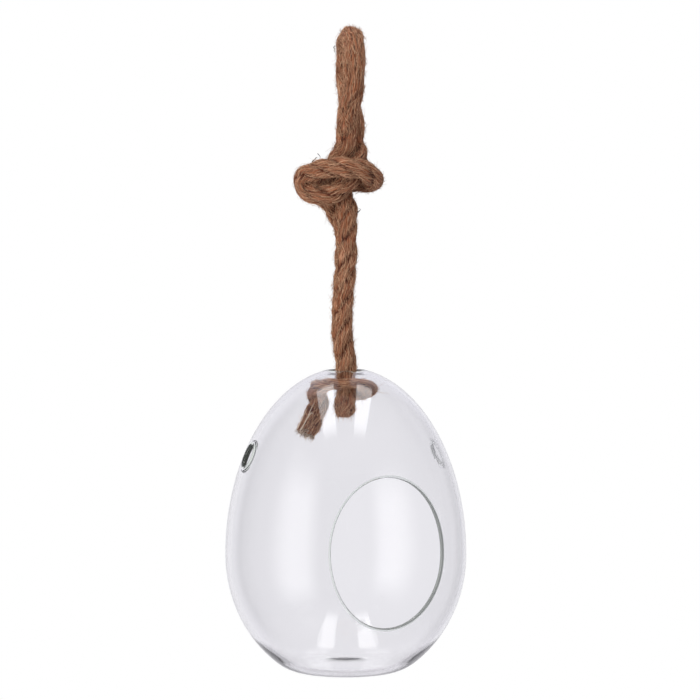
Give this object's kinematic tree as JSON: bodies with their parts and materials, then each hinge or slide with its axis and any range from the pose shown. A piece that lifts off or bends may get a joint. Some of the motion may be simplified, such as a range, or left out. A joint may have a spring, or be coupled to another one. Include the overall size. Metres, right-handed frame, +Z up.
{
  "type": "hanging glass vase",
  "caption": "Egg-shaped clear blown-glass vessel with an oval front opening and side vents, hung by its neck hole on a knotted doubled jute rope with a hanging loop.",
  "frame": {"origin": "the point inside the top of the hanging loop where a hook bears, on the axis of the glass vessel", "axes": "+Z up along the axis of the vessel, -Y out of the large oval opening; the two side vents face +X and -X to within 7 degrees"},
  "size_m": [0.133, 0.1257, 0.3554],
  "materials": {
    "clear_glass": "clear mouth-blown soda-lime glass, fire-polished rims",
    "jute_rope": "three-strand laid jute, matt, with loose fibres"
  },
  "bodies": {
    "hook_loop": {"hanging_loop": "jute_rope"},
    "upper_knot": {"knot_hitch": "jute_rope", "knot_core": "jute_rope"},
    "rope_legs": {"front_leg": "jute_rope", "rear_leg": "jute_rope"},
    "stopper_knot": {"stopper_turn": "jute_rope", "stopper_core": "jute_rope"},
    "vessel": {"glass_vessel": "clear_glass"}
  },
  "joints": [
    {"name": "loop_swing", "type": "hinge", "parent": "hook_loop", "child": "upper_knot", "pos_m": [0, 0, 0], "axis": [0.9239, -0.3827, 0], "range_deg": [-30, 30], "deforming": ["hanging_loop"]},
    {"name": "leg_swing", "type": "hinge", "parent": "upper_knot", "child": "rope_legs", "pos_m": [0, 0, -0.1043], "axis": [0.3827, 0.9239, 0], "range_deg": [-25, 25], "deforming": ["front_leg", "rear_leg"]},
    {"name": "rope_twist", "type": "hinge", "parent": "rope_legs", "child": "stopper_knot", "pos_m": [0, 0, -0.184], "axis": [0, 0, 1], "range_deg": [-180, 180], "deforming": ["front_leg", "rear_leg"]},
    {"name": "vessel_lift", "type": "slide", "parent": "stopper_knot", "child": "vessel", "axis": [0, 0, 1], "range_m": [0, 0.07]}
  ]
}
